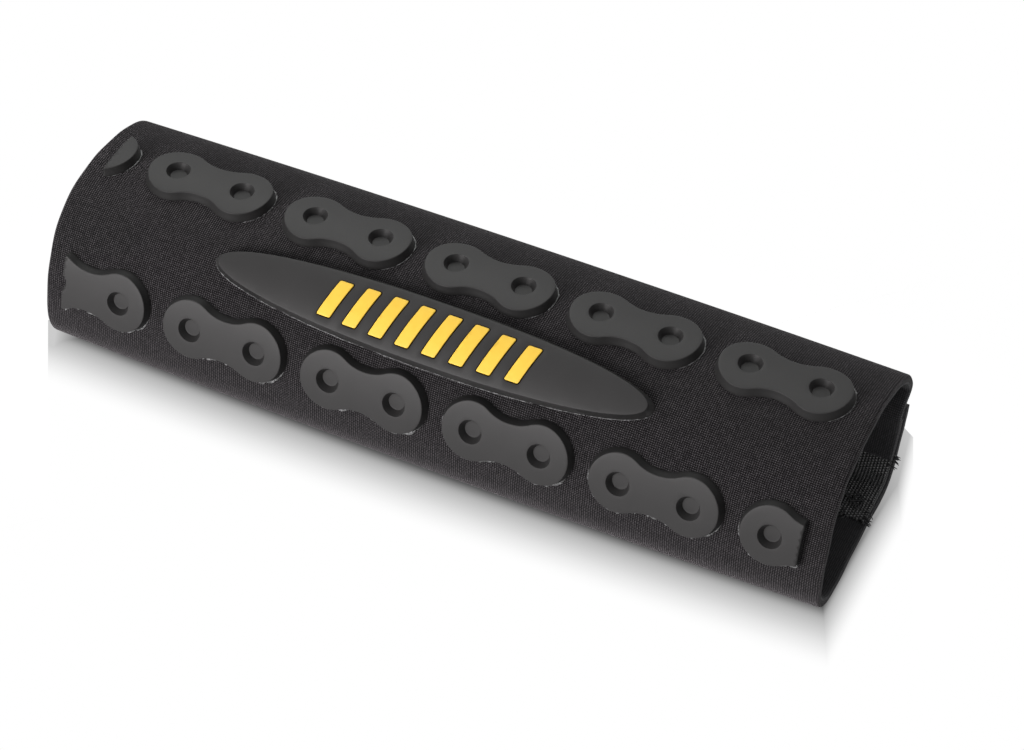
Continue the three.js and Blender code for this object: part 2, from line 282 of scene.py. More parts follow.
def slab(xs, ss, top, bottom, side_shares):
    """A closed slab over a grid. Faces come with 0 for the top, 1 for the bottom and 2 for the sides."""
    n, m = len(xs), len(ss)
    grid_x, grid_s = np.meshgrid(xs, ss, indexing="ij")
    layers = [np.stack((grid_x, grid_s, face(grid_x, grid_s)), 2).reshape(-1, 3) for face in (top, bottom)]
    low = n * m
    ring = [i * m for i in range(n)]
    ring += [(n - 1) * m + j for j in range(1, m)]
    ring += [i * m + m - 1 for i in range(n - 2, -1, -1)]
    ring += [j for j in range(m - 2, 0, -1)]
    ring = np.array(ring)
    rings = [ring]
    for share in side_shares:
        start = sum(len(layer) for layer in layers)
        layers.append(layers[0][ring] * (1 - share) + layers[1][ring] * share)
        rings.append(start + np.arange(len(ring)))
    rings.append(ring + low)
    faces, kinds = [], []
    for i in range(n - 1):
        for j in range(m - 1):
            a = i * m + j
            faces.append((a, a + m, a + m + 1, a + 1))
            faces.append((low + a, low + a + 1, low + a + m + 1, low + a + m))
            kinds += [0, 1]
    for upper, lower in zip(rings, rings[1:]):
        for i in range(len(ring)):
            k = (i + 1) % len(ring)
            faces.append((int(upper[k]), int(upper[i]), int(lower[i]), int(lower[k])))
            kinds.append(2)
    return np.concatenate(layers), faces, kinds


class Solid:
    """A flat closed mesh that is put together ring by ring."""

    ROW_SPACING = 0.87
    RIM_SPACING = 0.45

    def __init__(self):
        self.points = []
        self.faces = []

    def ring(self, outline, height):
        start = len(self.points)
        self.points += [(x, s, height) for x, s in outline]
        return list(range(start, len(self.points)))

    def bridge(self, lower, upper):
        count = len(lower)
        for i in range(count):
            k = (i + 1) % count
            self.faces.append((lower[i], lower[k], upper[k], upper[i]))

    def rings(self, outline_at, profile):
        """Rings at (inset, height) pairs, each joined to the one before. Returns the last."""
        last = None
        for inset, height in profile:
            ring = self.ring(outline_at(inset), height)
            if last:
                self.bridge(last, ring)
            last = ring
        return last

    def cap(self, ring, step, holes=(), up=True):
        """Fills a ring at one height, less its holes, with points inside it so that it can bend."""
        height = self.points[ring[0]][2]
        used = [i for loop in (ring, *holes) for i in loop]
        flat = [Vector(self.points[i][:2]) for i in used]
        edges = []
        start = 0
        for loop in (ring, *holes):
            edges += [(start + i, start + (i + 1) % len(loop)) for i in range(len(loop))]
            start += len(loop)
        outline = np.array([self.points[i][:2] for i in ring])
        cut = [np.array([self.points[i][:2] for i in hole]) for hole in holes]
        low, high = outline.min(0), outline.max(0)
        for row, s in enumerate(np.arange(low[1] + step / 2, high[1], step * self.ROW_SPACING)):
            for x in np.arange(low[0] + step * (0.25 + 0.5 * (row % 2)), high[0], step):
                point = np.array((x, s))
                room = step * self.RIM_SPACING
                clear = all(spacing(point, loop) > room for loop in (outline, *cut))
                if clear and inside(point, outline) and not any(inside(point, loop) for loop in cut):
                    used.append(len(self.points))
                    self.points.append((x, s, height))
                    flat.append(Vector((x, s)))
        _, _, triangles, origins, _, _ = delaunay_2d_cdt(flat, edges, [], 0, 1e-6)
        for triangle in triangles:
            corners = [used[origins[i][0]] for i in triangle]
            centre = np.mean([self.points[i][:2] for i in corners], axis=0)
            if inside(centre, outline) and not any(inside(centre, loop) for loop in cut):
                a, b, c = (np.array(self.points[i][:2]) for i in corners)
                turns_left = np.cross(b - a, c - a) > 0
                self.faces.append(tuple(corners if turns_left == up else corners[::-1]))


def spacing(point, loop):
    return np.min(np.linalg.norm(loop - point, axis=1))


def inside(point, loop):
    x, s = point
    after = np.roll(loop, -1, axis=0)
    crosses = (loop[:, 1] > s) != (after[:, 1] > s)
    rise = np.where(crosses, after[:, 1] - loop[:, 1], 1)
    at = loop[:, 0] + (s - loop[:, 1]) / rise * (after[:, 0] - loop[:, 0])
    return np.count_nonzero(crosses & (x < at)) % 2 == 1


def arc(x, s, radius, start, end, count):
    """Points on an arc between two angles in radians, without the last one."""
    angles = np.linspace(start, end, count, endpoint=False)
    return np.stack((x + radius * np.cos(angles), s + radius * np.sin(angles)), 1)


def trimmed(points, faces, low, high):
    """Cuts a flat closed mesh straight across at each x that is given, and closes it there."""
    work = bmesh.new()
    corners = [work.verts.new(p) for p in points]
    for face in faces:
        work.faces.new([corners[i] for i in face])
    for x, away in ((low, -1), (high, 1)):
        if x is None:
            continue
        geometry = work.verts[:] + work.edges[:] + work.faces[:]
        cut = bmesh.ops.bisect_plane(work, geom=geometry, dist=1e-5, plane_co=(x, 0, 0),
                                     plane_no=(away, 0, 0), clear_outer=True)
        rim = [e for e in cut["geom_cut"] if isinstance(e, bmesh.types.BMEdge)]
        bmesh.ops.triangle_fill(work, use_beauty=True, edges=rim, normal=(away, 0, 0))
    bmesh.ops.recalc_face_normals(work, faces=work.faces[:])
    work.verts.index_update()
    made = [tuple(v.co) for v in work.verts]
    kept = [tuple(v.index for v in f.verts) for f in work.faces]
    work.free()
    return made, kept


# Materials

# Knits: the width and height of a stitch, how far its columns wander, how far its legs lean,
# how sharply the painted highlight gathers on each stitch's crown and how bright the dullest one is
JERSEY_STITCH = (0.68, 0.62)
LINING_STITCH = (0.62, 0.5)
KNIT_WANDER = 0.5
KNIT_LEAN = 0.6
KNIT_CONTRAST = 2.8
DULLEST_STITCH = 0.45

# Where the foam ends and the cloth begins, from the middle of the sheet's thickness
FOAM_TO_CLOTH = (1.0, 1.2)

# Rubber: its darkest and lightest grey on the pads' tops and on their walls, where the darker grey is
# painted shade, how much more red than green is in it, and its grain's depth in metres and strength
PAD_GREYS = (0.0243, 0.0302)
SHADED_WALL_GREYS = (0.014, 0.018)
REDDISH = 1.03
GRAIN_BUMP = (0.00003, 0.6)


class Nodes:
    """Short forms for the nodes of one material or world."""

    def __init__(self, name, owners="materials"):
        self.owner = getattr(bpy.data, owners).new(name)
        self.owner.use_nodes = True
        self.tree = self.owner.node_tree
        self.shader = self.tree.nodes.get("Principled BSDF")

    def add(self, kind, inputs=None, **settings):
        node = self.tree.nodes.new(kind)
        for key, value in settings.items():
            setattr(node, key, value)
        for key, value in (inputs or {}).items():
            self.feed(node.inputs[key], value)
        return node

    def feed(self, socket, value):
        if isinstance(value, bpy.types.NodeSocket):
            self.tree.links.new(value, socket)
        else:
            socket.default_value = value

    def math(self, operation, *values):
        node = self.add("ShaderNodeMath", operation=operation)
        for socket, value in zip(node.inputs, values):
            self.feed(socket, value)
        return node.outputs[0]

    def flat(self):
        attribute = self.add("ShaderNodeAttribute", attribute_name="flat")
        return attribute.outputs["Vector"]

    def split(self, vector):
        return self.add("ShaderNodeSeparateXYZ", {0: vector}).outputs

    def noise(self, vector, scale, detail=2.0, rough=0.5):
        inputs = {"Vector": vector, "Scale": scale, "Detail": detail, "Roughness": rough}
        return self.add("ShaderNodeTexNoise", inputs).outputs["Fac"]

    def ramp(self, value, low, high, to_low=0.0, to_high=1.0):
        inputs = {"Value": value, "From Min": low, "From Max": high, "To Min": to_low, "To Max": to_high}
        return self.add("ShaderNodeMapRange", inputs).outputs["Result"]

    def blend(self, share, first, second):
        node = self.add("ShaderNodeMix", data_type="RGBA")
        self.feed(node.inputs["Factor"], share)
        self.feed(node.inputs[6], first)
        self.feed(node.inputs[7], second)
        return node.outputs[2]

    def bump(self, height, distance, strength):
        inputs = {"Height": height, "Distance": distance, "Strength": strength}
        return self.add("ShaderNodeBump", inputs).outputs["Normal"]

    def seen(self):
        """1 for what the camera sees, by a reflection too, and 0 for what only gives light."""
        path = self.add("ShaderNodeLightPath").outputs
        bounced = self.math("MAXIMUM", path["Is Glossy Ray"], path["Is Transmission Ray"])
        return self.math("MAXIMUM", path["Is Camera Ray"], bounced)

    def set(self, **inputs):
        for key, value in inputs.items():
            self.feed(self.shader.inputs[key.replace("_", " ")], value)
        return self.owner


def knit(n, flat, stitch_size):
    """Columns of small V stitches. Returns how high and how bright each place of the knit is: the
    brightness is painted highlight on each stitch's crown and painted shade between, times a random tone
    for each stitch.
    """
    wale, course = stitch_size
    wander = n.noise(flat, 0.2, 1.0)
    x, s, _ = n.split(flat)
    x = n.math("ADD", x, n.math("MULTIPLY", wander, KNIT_WANDER))
    columns = n.math("DIVIDE", x, wale)
    leg = n.math("ABSOLUTE", n.math("SUBTRACT", n.math("MULTIPLY", n.math("FRACT", columns), 2), 1))
    rows = n.math("ADD", n.math("DIVIDE", s, course), n.math("MULTIPLY", leg, KNIT_LEAN))
    wave = n.math("COSINE", n.math("MULTIPLY", rows, math.tau))
    stitch = n.math("MULTIPLY_ADD", wave, 0.4, 0.6)
    rib = n.math("MULTIPLY_ADD", n.math("POWER", leg, 2.0), -0.7, 1)
    height = n.math("MULTIPLY", rib, stitch)
    cell = n.add("ShaderNodeCombineXYZ", {"X": n.math("FLOOR", columns), "Y": n.math("FLOOR", rows)})
    chance = n.add("ShaderNodeTexWhiteNoise", {"Vector": cell.outputs[0]}, noise_dimensions="2D")
    lustre = n.ramp(chance.outputs["Value"], 0.0, 1.0, DULLEST_STITCH, 1.0)
    # Brighter with the stitch's height: painted highlight on the crowns and painted shade between them
    return height, n.math("MULTIPLY", n.math("POWER", height, KNIT_CONTRAST), lustre)


def jersey_material():
    """Knitted jersey, dark with paler flecks painted where its stitches catch the light."""
    n = Nodes("jersey")
    flat = n.flat()
    height, shade = knit(n, flat, JERSEY_STITCH)
    return n.set(
        Base_Color=n.blend(shade, (0.0015, 0.0014, 0.0017, 1), (0.136, 0.1275, 0.133, 1)),
        Roughness=0.85,
        Specular_IOR_Level=0.08,
        Sheen_Weight=n.ramp(shade, 0.0, 0.6, 0.2, 0.42),
        Sheen_Roughness=0.42,
        Sheen_Tint=(0.8, 0.74, 0.78, 1),
        Normal=n.bump(height, 0.0002, 0.8),
    )


def lining_material():
    """The closer and plainer jersey on the inside of the sheet, paler than the outer jersey: painted light
    on the sleeve's shaded inside.
    """
    n = Nodes("lining_with_painted_light")
    flat = n.flat()
    height, shade = knit(n, flat, LINING_STITCH)
    return n.set(
        # Paler than the outer jersey: painted light on the shaded inside of the sleeve
        Base_Color=n.blend(shade, (0.035, 0.035, 0.037, 1), (0.18, 0.178, 0.187, 1)),
        Roughness=0.9,
        Specular_IOR_Level=0.2,
        Sheen_Weight=0.1,
        Normal=n.bump(height, 0.0001, 0.7),
    )


def foam_material():
    """The cut edge of the sheet: dark foam rubber between the paler edges of its two jerseys."""
    n = Nodes("foam_edge")
    flat = n.flat()
    _, _, h = n.split(flat)
    beside = n.math("ABSOLUTE", n.math("ADD", h, SHEET_THICKNESS / 2))
    cells = n.add("ShaderNodeTexVoronoi", {"Vector": flat, "Scale": 3.5}).outputs["Distance"]
    grain = n.noise(flat, 5.0, 3.0, 0.6)
    rubber = n.blend(n.math("MULTIPLY", grain, cells), (0.035, 0.034, 0.035, 1), (0.12, 0.116, 0.12, 1))
    cloth = n.blend(n.ramp(grain, 0.4, 0.6), (0.04, 0.039, 0.04, 1), (0.34, 0.33, 0.34, 1))
    return n.set(
        Base_Color=n.blend(n.ramp(beside, *FOAM_TO_CLOTH), rubber, cloth),
        Roughness=0.95,
        Specular_IOR_Level=0.2,
        Normal=n.bump(cells, 0.00015, 0.8),
    )


def rubber_material(name, low, high):
    """Moulded rubber with a fine matt grain and a few specks, between two levels of grey."""
    n = Nodes(name)
    flat = n.flat()
    patch = n.noise(flat, 0.12, 2.0)
    grain = n.noise(flat, 6.0, 3.0, 0.6)
    dust = n.ramp(n.noise(flat, 1.7, 4.0, 0.75), 0.66, 0.75)
    tone = n.blend(patch, (low * REDDISH, low, low, 1), (high * REDDISH, high, high, 1))
    colour = n.blend(n.math("MULTIPLY", dust, 0.12), tone, (0.16, 0.16, 0.16, 1))
    return n.set(
        Base_Color=colour,
        Roughness=n.ramp(grain, 0.3, 0.7, 0.45, 0.58),
        Specular_IOR_Level=0.24,
        Normal=n.bump(grain, *GRAIN_BUMP),
    )


def flash_material():
    """The thin film of rubber that the mould leaves round each pad, dark with pale patches that are painted
    glints.
    """
    n = Nodes("moulding_flash_painted_glints")
    flat = n.flat()
    painted_glints = n.noise(flat, 0.9, 3.0, 0.75)
    # Pale patches where the noise is high: painted glints on the film
    colour = n.blend(n.ramp(painted_glints, 0.45, 0.62), (0.04, 0.04, 0.04, 1), (0.24, 0.24, 0.245, 1))
    return n.set(
        Base_Color=colour,
        Roughness=0.35,
        Specular_IOR_Level=0.4,
        Normal=n.bump(n.noise(flat, 3.0, 3.0, 0.6), 0.0002, 0.8),
    )


def yellow_material():
    """Yellow rubber, darker down the sides of each bar towards and into its pocket: painted shade."""
    n = Nodes("yellow_rubber")
    flat = n.flat()
    _, _, h = n.split(flat)
    patch = n.noise(flat, 0.4, 2.0)
    grain = n.noise(flat, 6.0, 2.0, 0.6)
    top = n.blend(patch, (0.9, 0.56, 0.055, 1), (0.96, 0.64, 0.085, 1))
    # Dark amber from a little above the pad's top down into the gap round the bar: painted shade
    colour = n.blend(n.ramp(h, PAD_HEIGHT - 0.1, PAD_HEIGHT + 0.2), (0.2, 0.075, 0.008, 1), top)
    return n.set(
        Base_Color=colour,
        Roughness=n.ramp(grain, 0.3, 0.7, 0.45, 0.6),
        Specular_IOR_Level=0.35,
        Normal=n.bump(grain, *GRAIN_BUMP),
    )


def tape_material():
    """Woven nylon tape: dark cords side by side, each paler at its crown as painted highlight, with rows of
    pale spots that are painted glints.
    """
    n = Nodes("woven_tape")
    flat = n.flat()
    x, s, _ = n.split(flat)
    # Each cord is paler towards its crown: painted highlight
    cord = n.math("ABSOLUTE", n.math("SINE", n.math("MULTIPLY", x, math.pi / RIB_PITCH)))
    # Rows of pale spots along the cords, shifted from cord to cord: painted glints
    number = n.math("FLOOR", n.math("DIVIDE", x, RIB_PITCH))
    row = n.math("ADD", s, n.math("MULTIPLY", number, GLINT_ROW_SHIFT))
    wave = n.math("SINE", n.math("MULTIPLY", row, math.tau / GLINT_ROW_PITCH))
    wave = n.math("MULTIPLY_ADD", wave, 0.5, 0.5)
    painted_glint = n.math("POWER", wave, 1.6)
    fuzz = n.ramp(n.noise(flat, 1.6, 3.0, 0.7), 0.35, 0.65, 0.35, 1.0)
    shade = n.math("MULTIPLY", n.math("MULTIPLY", n.math("POWER", cord, 2.2), painted_glint), fuzz)
    return n.set(
        Base_Color=n.blend(shade, (0.006, 0.006, 0.0065, 1), (0.88, 0.88, 0.89, 1)),
        Roughness=0.55,
        Specular_IOR_Level=0.4,
        Normal=n.bump(shade, 0.00015, 0.8),
    )


def hook_material():
    """Nylon hooks, smooth and slightly grey."""
    n = Nodes("nylon_hooks")
    tint = n.noise(n.flat(), 1.2, 2.0)
    return n.set(
        Base_Color=n.blend(tint, (0.02, 0.02, 0.021, 1), (0.16, 0.16, 0.165, 1)),
        Roughness=0.4,
        Specular_IOR_Level=0.4,
    )


def thread_material():
    """Black polyester thread with a slight lustre."""
    n = Nodes("sewing_thread")
    flat = n.flat()
    twist = n.noise(flat, 4.0, 2.0, 0.6)
    colour = n.blend(twist, (0.006, 0.006, 0.0065, 1), (0.07, 0.07, 0.074, 1))
    return n.set(
        Base_Color=colour,
        Roughness=0.5,
        Specular_IOR_Level=0.4,
        Normal=n.bump(twist, 0.00008, 0.6),
    )


jersey = jersey_material()
lining_with_painted_light = lining_material()
foam = foam_material()
# A rubber for the pads' tops and a darker copy of it for their walls, where the darkness is painted shade
top_and_shaded_wall_rubbers = [rubber_material("pad_rubber", *PAD_GREYS), rubber_material("pad_rubber_wall_painted_shade", *SHADED_WALL_GREYS)]
flash = flash_material()
yellow = yellow_material()
tape = tape_material()
nylon = hook_material()
thread = thread_material()


# Sheet

SHEET_X_STEP = 2.0
SHEET_S_STEP = 0.85
SHEET_EDGE_STEPS = (0, 0.05, 0.16, 0.34, 0.58, 0.85)
SHEET_EDGE_ROUND = 0.85
SHEET_REACH = 0.6
SEAM_SINK = 0.3
SEAM_WIDTH = 1.1
STITCH_INSET = 1.6

# How a hand-cut end wanders: the size of each wave, the way round the sleeve that turns it
# by one radian, and how far into the sheet the waves reach
END_WAVES = ((0.12, 6.1), (0.07, 2.3))
END_WAVE_REACH = 3

hook_from = sheet_bottom + HOOK_TAPE["setback"]
hook_to = hook_from + HOOK_TAPE["width"]
loop_to = sheet_top - LOOP_TAPE["setback"]
loop_from = loop_to - LOOP_TAPE["width"]
seams = [hook_from + STITCH_INSET, hook_to - STITCH_INSET, loop_from + STITCH_INSET, loop_to - STITCH_INSET]


def edge_drop(x, s):
    """How far the face falls off beside the sheet's cut edges."""
    along = np.minimum(x, SHEET_LENGTH - x) + SHEET_REACH
    beside = np.minimum.reduce((along, s - sheet_bottom, sheet_top - s))
    lack = np.clip(1 - beside / SHEET_EDGE_ROUND, 0, 1)
    return SHEET_EDGE_ROUND * (1 - np.sqrt(1 - lack**2))


def seam_sink(s):
    return sum(SEAM_SINK * np.exp(-(((s - seam) / SEAM_WIDTH) ** 2)) for seam in seams)


def sheet_outside(x, s):
    return -edge_drop(x, s) - seam_sink(s)


def sheet_inside(x, s):
    return edge_drop(x, s) - SHEET_THICKNESS


def wavy_ends(points):
    """A hand-cut sheet: its ends wander a little."""
    x, s = points[:, 0], points[:, 1]
    for end, phase in ((0, 0.4), (SHEET_LENGTH, 2.1)):
        near = np.exp(-np.abs(x - end) / END_WAVE_REACH)
        waves = enumerate(END_WAVES, 1)
        x = x + near * sum(size * np.sin(s / length + k * phase) for k, (size, length) in waves)
    points[:, 0] = x
    return points


def make_sheet():
    xs = edge_lines(SHEET_LENGTH + 2 * SHEET_REACH, SHEET_X_STEP, SHEET_EDGE_STEPS) - SHEET_REACH
    ss = sheet_bottom + edge_lines(sheet_top - sheet_bottom, SHEET_S_STEP, SHEET_EDGE_STEPS)
    points, faces, kinds = slab(xs, ss, sheet_outside, sheet_inside, (0.25, 0.5, 0.75))
    return piece("wrapped_sheet", wavy_ends(points), faces, [jersey, lining_with_painted_light, foam], "jersey_fabric",
                 ["neoprene_sheet"], kinds)


# Pads

END_POINTS = 44
WAIST_POINTS = 18
RECESS_POINTS = 48
LENS_POINTS = 180

# How far apart points stand along a bar's sides, and in the tops and undersides of the pads
BAR_SIDE_STEP = 0.8
BAR_STEPS = (1.0, 2)
LINK_STEPS = (1.3, 2.5)
LENS_STEPS = (1.6, 3)

# Faces whose normals rise less than this out of the sheet have the walls' rubber, whose darker grey is
# painted shade
STEEP = 0.45

# Moulding flash: its radius where it shows and where it doesn't, how deep it lies there, how
# far it comes up where it shows and how steeply it stands
FLASH_BEAD = 0.08
FLASH_THREAD = 0.02
FLASH_DEPTH = 0.14
FLASH_RAISE = 0.22
FLASH_CLIMB = 0.4
FLASH_INSET = -0.02

# It comes and goes in waves round the pad: how many, how large and about which share. It keeps
# to one side of the pad by a power, and the last value says how soon it shows
FLASH_WAVES = (5, 9, 17, 26, 41, 63)
FLASH_UNEVEN = 1.3
FLASH_SHARE = 0.65
FLASH_SIDE = 1.5
FLASH_ONSET = 8

# The lens pad's flash: the way that it faces, which is the side where its painted glints show, and its
# width
LENS_FLASH_WAY = (-0.3, -0.9)
LENS_FLASH_WIDTH = 0.22


def link_outline(x, s, inset):
    half = PIN_SPACING / 2
    waist = LINK_WAIST / 2
    hollow = (half**2 + waist**2 - LINK_END_RADIUS**2) / (2 * (LINK_END_RADIUS - waist))
    rise = waist + hollow
    lean = math.atan2(rise, half)
    end = LINK_END_RADIUS - inset
    dip = hollow + inset
    return np.concatenate((
        arc(x + half, s, end, lean - math.pi, math.pi - lean, END_POINTS),
        arc(x, s + rise, dip, -lean, lean - math.pi, WAIST_POINTS),
        arc(x - half, s, end, lean, math.tau - lean, END_POINTS),
        arc(x, s - rise, dip, math.pi - lean, lean, WAIST_POINTS),
    ))


def lens_outline(inset):
    angles = np.linspace(0, math.tau, LENS_POINTS, endpoint=False)
    power = 2 / LENS_FULLNESS
    x = np.sign(np.cos(angles)) * np.abs(np.cos(angles)) ** power * (LENS_LENGTH / 2 - inset)
    s = np.sign(np.sin(angles)) * np.abs(np.sin(angles)) ** power * (LENS_WIDTH / 2 - inset)
    return np.stack((x, s), 1) + LENS_CENTRE


def quarter(steps):
    """A quarter of a round of radius 1, as ways in from its side and down from its top."""
    angles = [math.pi / 2 * step / steps for step in range(steps + 1)]
    return [(1 - math.cos(angle), 1 - math.sin(angle)) for angle in angles]


def rim_profile(draft):
    """A pad's wall and rounded rim, as insets from its outline and heights."""
    wall = [(0, -PAD_SINK), (draft * 0.1, WALL_FOOT), (draft * 0.5, (PAD_HEIGHT - PAD_ROUND) * 0.5)]
    return wall + [(draft + PAD_ROUND * a, PAD_HEIGHT - PAD_ROUND * b) for a, b in quarter(6)]


def recess_profile():
    """A pin recess from its lip down its sloping wall to its floor, as radii and heights."""
    floor = PAD_HEIGHT - RECESS_DEPTH
    wall_foot = RECESS_RADIUS - RECESS_DRAFT
    lip = [(RECESS_RADIUS + RECESS_LIP * b, PAD_HEIGHT - RECESS_LIP * a) for a, b in quarter(4)]
    fillet = [(wall_foot - RECESS_FILLET * a, floor + RECESS_FILLET * b) for a, b in quarter(5)]
    return lip + fillet + [(radius, floor) for radius in RECESS_FLOOR_RINGS]


def sink_recess(solid, x, s):
    """Adds the walls and floor of a pin recess. Returns its lip, which is a hole in the pad's top."""
    lip = last = None
    for radius, height in recess_profile():
        ring = solid.ring(arc(x, s, radius, 0, math.tau, RECESS_POINTS), height)
        if last:
            solid.bridge(last, ring)
        lip = lip or ring
        last = ring
    centre = len(solid.points)
    solid.points.append((x, s, solid.points[last[0]][2]))
    for i in range(RECESS_POINTS):
        solid.faces.append((last[i], last[(i + 1) % RECESS_POINTS], centre))
    return lip


def link_solid(x, s):
    solid = Solid()
    top = solid.rings(lambda inset: link_outline(x, s, inset), rim_profile(LINK_DRAFT))
    holes = [sink_recess(solid, x + side * PIN_SPACING / 2, s) for side in (-1, 1)]
    solid.cap(top, LINK_STEPS[0], holes)
    solid.cap(list(range(len(top))), LINK_STEPS[1], up=False)
    return solid.points, solid.faces


def steep_faces(points, faces):
    """1 for each face that stands steeply on the sheet, and 0 for each of the others."""
    corners = np.array([[points[i] for i in face[:3]] for face in faces])
    normals = np.cross(corners[:, 1] - corners[:, 0], corners[:, 2] - corners[:, 0])
    return (np.abs(normals[:, 2]) < STEEP * np.linalg.norm(normals, axis=1)).astype(int).tolist()


def outward(outline):
    """The way out of a closed outline at each of its points."""
    ahead = np.roll(outline, -1, axis=0) - np.roll(outline, 1, axis=0)
    return np.stack((ahead[:, 1], -ahead[:, 0]), 1) / np.linalg.norm(ahead, axis=1)[:, None]


def flash_solid(outline, toward, width, seed):
    """A ragged film at the foot of a pad, on the side that faces a given way."""
    draw = random.Random(seed)
    phases = [draw.uniform(0, math.tau) for _ in FLASH_WAVES]
    count, sides = len(outline), 6
    out = outward(outline)
    turn = np.linspace(0, math.tau, count, endpoint=False)
    waves = [np.sin(turn * times + phase) for times, phase in zip(FLASH_WAVES, phases)]
    uneven = sum(waves) / len(waves)
    film = np.clip(out @ np.array(toward), 0, 1) ** FLASH_SIDE
    film *= np.clip(uneven * FLASH_UNEVEN + FLASH_SHARE, 0, 1)
    shown = np.clip(film * FLASH_ONSET, 0, 1)
    thick = FLASH_THREAD + (FLASH_BEAD - FLASH_THREAD) * shown
    half = 0.5 * width * film
    points, faces = [], []
    for k in range(sides):
        angle = math.tau * k / sides
        reach = (thick + half) * math.cos(angle) + half
        height = FLASH_RAISE * shown - FLASH_DEPTH + FLASH_CLIMB * width * film + thick * math.sin(angle)
        points.append(np.column_stack((outline + out * reach[:, None], height)))
    for k in range(sides):
        for i in range(count):
            a, b = k * count, (k + 1) % sides * count
            j = (i + 1) % count
            faces.append((a + i, a + j, b + j, b + i))
    return np.concatenate(points).tolist(), faces


def make_links():
    """Two rows of links, half a pitch apart. The ones that run on past the sheet's ends are cut there."""
    half = PIN_SPACING / 2 + LINK_END_RADIUS
    for row, place in LINK_ROWS.items():
        whole = 0
        for x in np.arange(place["start"], TRIM_RIGHT + half, LINK_PITCH):
            low = TRIM_LEFT if x - half < TRIM_LEFT else None
            high = TRIM_RIGHT if x + half > TRIM_RIGHT else None
            whole += low is None and high is None
            label = "cut_left" if low else "cut_right" if high else str(whole)
            body = link_solid(x, place["s"])
            foot = link_outline(x, place["s"], FLASH_INSET)
            film = flash_solid(foot, place["flash_way"], place["flash_width"], SEED + round(x * 10))
            if low or high:
                body = trimmed(*body, low, high)
                film = trimmed(*film, low, high)
            piece(f"moulded_{row}_link_{label}", *body, top_and_shaded_wall_rubbers, "pad_rubber",
                  [f"link_pad_{row}_{label}"], steep_faces(*body))
            piece(f"flash_{row}_link_{label}", *film, [flash], "pad_rubber")


def lens_half_width(x):
    return LENS_WIDTH / 2 * (1 - abs(2 * x / LENS_LENGTH) ** LENS_FULLNESS) ** (1 / LENS_FULLNESS)


def bar_outline(number):
    """A slanted bar with rounded corners, whose ends keep an even border to the lens."""
    x = (number - (BAR_COUNT + 1) / 2) * BAR_PITCH
    half = lens_half_width(x) - BAR_BORDER
    lean = BAR_SLANT * half / (LENS_WIDTH / 2)
    side = BAR_WIDTH / 2
    corners = np.array([
        (x - side - lean, -half),
        (x + side - lean, -half),
        (x + side + lean, half),
        (x - side + lean, half),
    ])
    points = []
    for i, place in enumerate(corners):
        before, after = corners[i - 1], corners[(i + 1) % 4]
        back = (before - place) / np.linalg.norm(before - place)
        on = (after - place) / np.linalg.norm(after - place)
        for t in np.linspace(0, 1, 7):
            points.append(place + BAR_CORNER * ((1 - t) ** 2 * back + t**2 * on))
        length = np.linalg.norm(after - place) - 2 * BAR_CORNER
        count = round(length / BAR_SIDE_STEP)
        for t in np.linspace(0, 1, count + 2)[1:-1]:
            points.append(place + on * (BAR_CORNER + t * length))
    return np.array(points) + LENS_CENTRE


def bar_ring(number, grow):
    """A bar's outline moved outwards. It has as many points as the bar's own."""
    base = bar_outline(number)
    return base + outward(base) * grow


# A bar's pocket: how far its rings lie outside the bar's outline, and how high from the pad's top
POCKET_PROFILE = (
    (BAR_GAP + 0.12, 0),
    (BAR_GAP + 0.03, -0.05),
    (BAR_GAP, -0.15),
    (BAR_GAP, -BAR_DEPTH - 0.2),
)


def make_lens():
    """The lens-shaped pad, with a pocket for each bar."""
    solid = Solid()
    top = solid.rings(lens_outline, rim_profile(LENS_DRAFT))
    pockets = []
    for number in range(1, BAR_COUNT + 1):
        last = lip = None
        for grow, rise in POCKET_PROFILE:
            ring = solid.ring(bar_ring(number, grow), PAD_HEIGHT + rise)
            if last:
                solid.bridge(last, ring)
            lip = lip or ring
            last = ring
        solid.cap(last, LENS_STEPS[0])
        pockets.append(lip)
    solid.cap(top, LENS_STEPS[0], pockets)
    solid.cap(list(range(len(top))), LENS_STEPS[1], up=False)
    body = solid.points, solid.faces
    piece("moulded_lens", *body, top_and_shaded_wall_rubbers, "pad_rubber", ["centre_lens_pad"], steep_faces(*body))
    film = flash_solid(lens_outline(FLASH_INSET), LENS_FLASH_WAY, LENS_FLASH_WIDTH, SEED)
    piece("flash_lens", *film, [flash], "pad_rubber")


def make_bars():
    """Yellow bars with rounded rims, one in each pocket."""
    for number in range(1, BAR_COUNT + 1):
        solid = Solid()
        rim = [(BAR_ROUND * a, PAD_HEIGHT + BAR_RISE - BAR_ROUND * b) for a, b in quarter(5)]
        profile = [(0, PAD_HEIGHT - BAR_DEPTH)] + rim
        top = solid.rings(lambda inset: bar_ring(number, -inset), profile)
        solid.cap(top, BAR_STEPS[0])
        solid.cap(list(range(len(top))), BAR_STEPS[1], up=False)
        piece(f"yellow_bar_{number}", solid.points, solid.faces, [yellow], "yellow_rubber",
              [f"inlay_bar_{number}"])


# Tapes

# How far apart points stand across each tape, and how far from its edges the first ones do
HOOK_TAPE_STEP = 1.6
HOOK_TAPE_EDGE = (0, 0.1, 0.3)
LOOP_TAPE_STEP = 0.8
LOOP_TAPE_EDGE = (0, 0.1, 0.25)

TAPE_SINK = 0.05
RIB_MARGIN = 0.3
RIB_RUN_IN = 1.2
NAP_HEIGHT = 0.15


